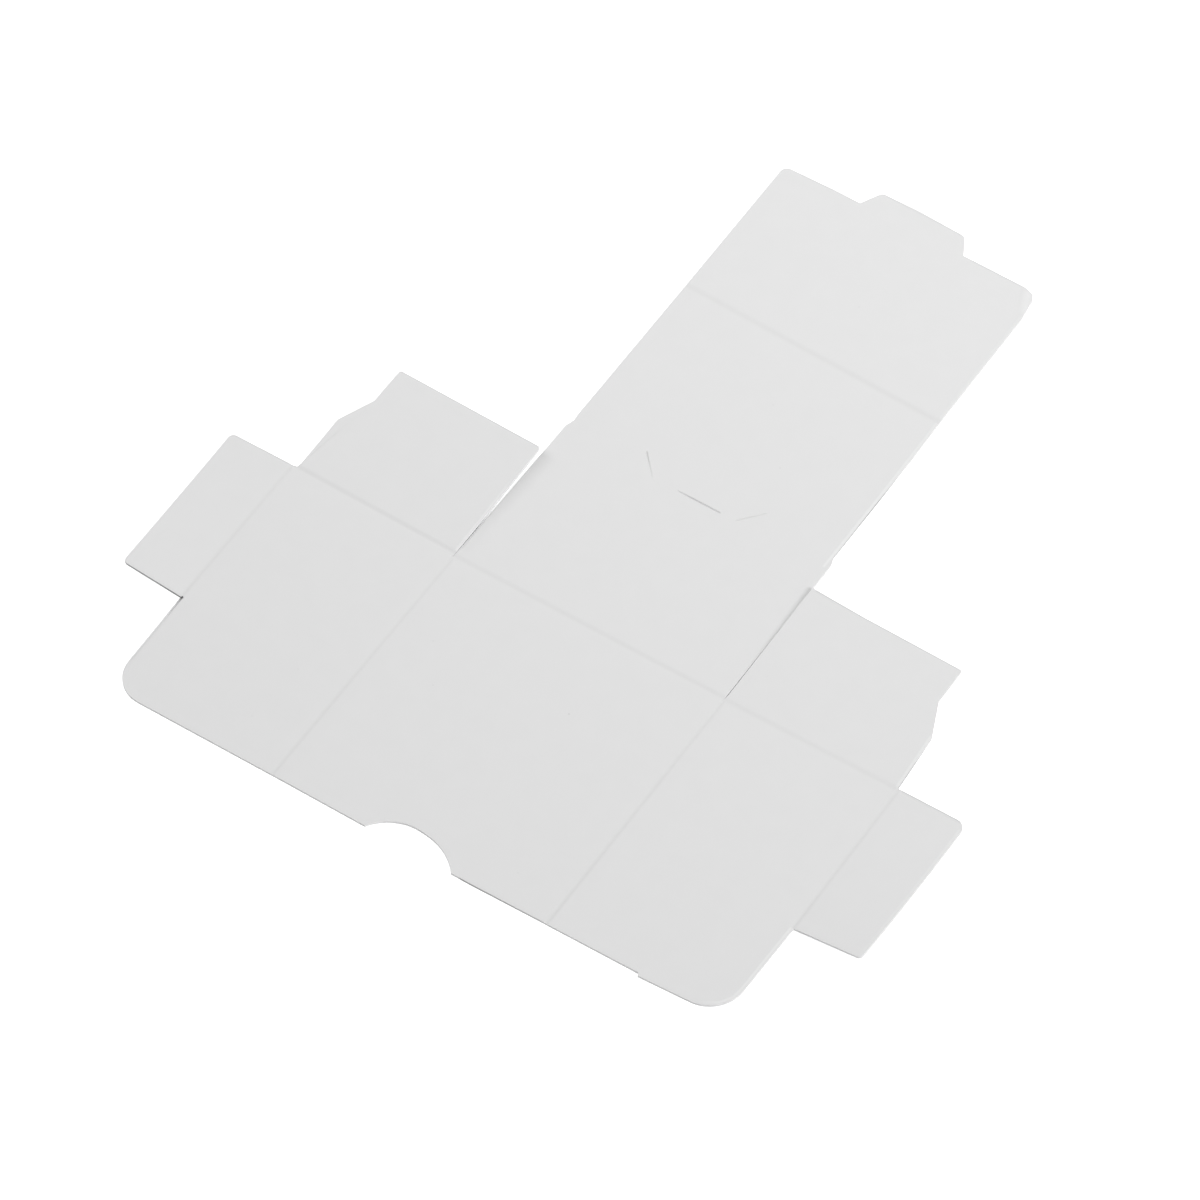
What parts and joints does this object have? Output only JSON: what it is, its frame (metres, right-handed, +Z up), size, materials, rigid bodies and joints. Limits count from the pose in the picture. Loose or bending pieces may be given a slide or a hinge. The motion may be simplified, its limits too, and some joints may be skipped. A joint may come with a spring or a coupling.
{
  "type": "slide storage box",
  "caption": "Flat white board blank of a small open-topped slide box: walls, flaps and lock tab hinge on creases and fold up into the box.",
  "frame": {"origin": "middle of the flat blank's bounding box, on the surface that it lies on", "axes": "+Z up out of the board's inner face, +Y from the thumb notch to the lock tab, +X to the right along the back wall"},
  "size_m": [0.1418, 0.1528, 0.0014],
  "materials": {
    "board": "smooth uncoated white board, matte",
    "crease": "the same board, pressed into a crease"
  },
  "bodies": {
    "back_wall": {"back_wall": "board", "left_wall_crease": "crease", "right_wall_crease": "crease", "bottom_crease": "crease"},
    "left_wall": {"left_wall": "board", "left_front_flap_crease": "crease", "left_bottom_flap_crease": "crease"},
    "right_wall": {"right_wall": "board", "right_front_flap_crease": "crease", "right_bottom_flap_crease": "crease"},
    "left_front_flap": {"left_front_flap": "board"},
    "right_front_flap": {"right_front_flap": "board"},
    "left_bottom_flap": {"left_bottom_flap": "board"},
    "right_bottom_flap": {"right_bottom_flap": "board"},
    "bottom": {"bottom_panel": "board", "front_wall_crease": "crease"},
    "front_wall": {"front_wall": "board", "rim_crease": "crease"},
    "front_lining": {"front_lining": "board"}
  },
  "joints": [
    {"name": "left_wall_fold", "type": "hinge", "parent": "back_wall", "child": "left_wall", "pos_m": [-0.026, -0.0504, 0.0005], "axis": [0, 1, 0], "range_deg": [0, 90], "deforming": ["left_wall_crease"]},
    {"name": "left_front_flap_fold", "type": "hinge", "parent": "left_wall", "child": "left_front_flap", "pos_m": [-0.0585, -0.0401, 0.0005], "axis": [0, 1, 0], "range_deg": [-1, 89], "stiffness_Nm_per_rad": 0.001, "deforming": ["left_front_flap_crease"]},
    {"name": "left_bottom_flap_fold", "type": "hinge", "parent": "left_wall", "child": "left_bottom_flap", "pos_m": [-0.04225, -0.0247, 0.0005], "axis": [1, 0, 0], "range_deg": [-2, 88], "stiffness_Nm_per_rad": 0.001, "deforming": ["left_bottom_flap_crease"]},
    {"name": "right_wall_fold", "type": "hinge", "parent": "back_wall", "child": "right_wall", "pos_m": [0.026, -0.0504, 0.0005], "axis": [0, -1, 0], "range_deg": [0, 90], "deforming": ["right_wall_crease"]},
    {"name": "right_front_flap_fold", "type": "hinge", "parent": "right_wall", "child": "right_front_flap", "pos_m": [0.0585, -0.0401, 0.0005], "axis": [0, -1, 0], "range_deg": [-2.2, 87.8], "stiffness_Nm_per_rad": 0.001, "deforming": ["right_front_flap_crease"]},
    {"name": "right_bottom_flap_fold", "type": "hinge", "parent": "right_wall", "child": "right_bottom_flap", "pos_m": [0.04225, -0.0247, 0.0005], "axis": [1, 0, 0], "range_deg": [-1, 89], "stiffness_Nm_per_rad": 0.001, "deforming": ["right_bottom_flap_crease"]},
    {"name": "bottom_fold", "type": "hinge", "parent": "back_wall", "child": "bottom", "pos_m": [0, -0.0241, 0.0005], "axis": [1, 0, 0], "range_deg": [0, 90], "deforming": ["bottom_crease"]},
    {"name": "front_wall_fold", "type": "hinge", "parent": "bottom", "child": "front_wall", "pos_m": [0, 0.009, 0.0005], "axis": [1, 0, 0], "range_deg": [0, 90], "deforming": ["front_wall_crease"]},
    {"name": "front_lining_fold", "type": "hinge", "parent": "front_wall", "child": "front_lining", "pos_m": [0, 0.04175, 0.00085], "axis": [1, 0, 0], "range_deg": [0, 180], "deforming": ["rim_crease"]}
  ]
}
